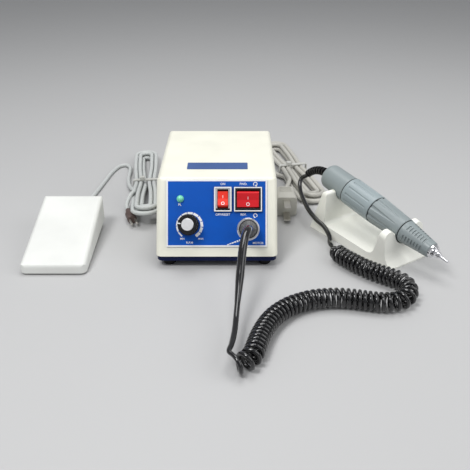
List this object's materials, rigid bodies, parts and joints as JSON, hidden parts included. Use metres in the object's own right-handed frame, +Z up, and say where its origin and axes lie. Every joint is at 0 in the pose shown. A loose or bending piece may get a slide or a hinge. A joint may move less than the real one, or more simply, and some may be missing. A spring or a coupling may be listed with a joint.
{
  "type": "bench micromotor set",
  "caption": "Bench micromotor set: sloping control box, foot pedal, handpiece in its cradle, curly motor cord and tied pedal and mains cords.",
  "frame": {"origin": "on the bench, under the middle of the set without its cords", "axes": "+X to the user's right, +Y away from the user, +Z up"},
  "size_m": [0.3525, 0.4301, 0.0705],
  "materials": {
    "cream_plastic": "satin",
    "white_plastic": "satin",
    "navy_plastic": "satin",
    "panel_blue": "satin",
    "black_plastic": "satin",
    "grey_plastic": "satin",
    "orange_plastic": "gloss",
    "red_plastic": "gloss",
    "green_lens": "gloss",
    "steel": "brushed",
    "chrome": "polished",
    "copper": "bright",
    "board_green": "satin",
    "rubber": "matt",
    "hand_blue": "satin",
    "hand_light": "satin",
    "magnet": "matt",
    "black_cord": "gloss",
    "grey_cord": "satin",
    "brown_plastic": "satin"
  },
  "bodies": {
    "set": {"housing": "cream_plastic", "base_plate": "navy_plastic", "rubber_feet": "rubber", "case_screws": "steel", "front_panel": "panel_blue", "top_label": "panel_blue", "power_switch_frame": "black_plastic", "direction_switch_frame": "black_plastic", "pilot_lamp": "green_lens", "speed_potentiometer": "steel", "motor_socket": "chrome", "transformer_core": "steel", "transformer_coil": "copper", "circuit_board": "board_green", "fuse_holder": "black_plastic", "pedal_socket": "black_plastic", "mains_gland": "black_plastic", "pedal_base": "white_plastic", "pedal_pads": "rubber", "pedal_hinge_pin": "steel", "pedal_spring": "steel", "pedal_switch": "black_plastic", "pedal_gland": "grey_plastic", "cradle": "cream_plastic", "motor_plug": "black_plastic", "motor_lead": "black_cord", "curly_cord": "black_cord", "handpiece_lead": "black_cord", "pedal_lead": "grey_cord", "pedal_hank": "grey_cord", "pedal_plug": "brown_plastic", "mains_lead": "grey_cord", "mains_hank": "grey_cord", "mains_plug": "grey_plastic", "cord_ties": "grey_plastic"},
    "power_rocker": {"power_rocker": "orange_plastic"},
    "direction_rocker": {"direction_rocker": "red_plastic"},
    "speed_control": {"speed_knob": "black_plastic", "knob_cap": "chrome", "knob_shaft": "steel"},
    "treadle": {"pedal_treadle": "white_plastic"},
    "plunger": {"switch_plunger": "red_plastic"},
    "handpiece": {"rear_cap": "hand_blue", "cord_relief": "rubber", "motor_sleeve": "hand_light", "motor_can": "steel", "motor_end_plates": "grey_plastic", "magnets": "magnet", "ball_bearings": "steel", "carbon_brushes": "black_plastic", "nose_cone": "hand_blue", "nose_ring": "chrome"},
    "chuck": {"chuck_ring": "hand_blue"},
    "rotor": {"rotor_core": "steel", "commutator": "copper", "rotor_shaft": "steel", "drive_coupling": "grey_plastic", "spindle": "steel", "collet": "chrome", "bur": "steel"}
  },
  "joints": [
    {"name": "power_switch", "type": "hinge", "parent": "set", "child": "power_rocker", "pos_m": [-0.0073, -0.04335, 0.05336], "axis": [1, 0, 0], "range_deg": [0, 18]},
    {"name": "direction_switch", "type": "hinge", "parent": "set", "child": "direction_rocker", "pos_m": [0.0139, -0.04335, 0.05336], "axis": [1, 0, 0], "range_deg": [-18, 0]},
    {"name": "speed_turn", "type": "hinge", "parent": "set", "child": "speed_control", "pos_m": [-0.0364, -0.0552, 0.03531], "axis": [0, 0.8829, -0.4695], "range_deg": [-60, 210]},
    {"name": "treadle_hinge", "type": "hinge", "parent": "set", "child": "treadle", "pos_m": [-0.1494, -0.071, 0.0066], "axis": [1, 0, 0], "range_deg": [-3.5, 0], "stiffness_Nm_per_rad": 2, "springref_deg": 3.44, "deforming": ["pedal_spring"]},
    {"name": "plunger_slide", "type": "slide", "parent": "set", "child": "plunger", "axis": [0, 0, 1], "range_m": [-0.0021, 0]},
    {"name": "handpiece_lift", "type": "slide", "parent": "set", "child": "handpiece", "axis": [0.1033, -0.1481, 0.9836], "range_m": [0, 0.04]},
    {"name": "chuck_turn", "type": "hinge", "parent": "handpiece", "child": "chuck", "pos_m": [0.13675, -0.03734, 0.03236], "axis": [0.5627, -0.8067, -0.1805], "range_deg": [0, 60]},
    {"name": "motor_spin", "type": "hinge", "parent": "handpiece", "child": "rotor", "pos_m": [0.13675, -0.03734, 0.03236], "axis": [0.5627, -0.8067, -0.1805], "continuous": true}
  ],
  "couplings": [
    {"joint": "plunger_slide", "follows": "treadle_hinge", "m_per_rad": 0.032}
  ]
}
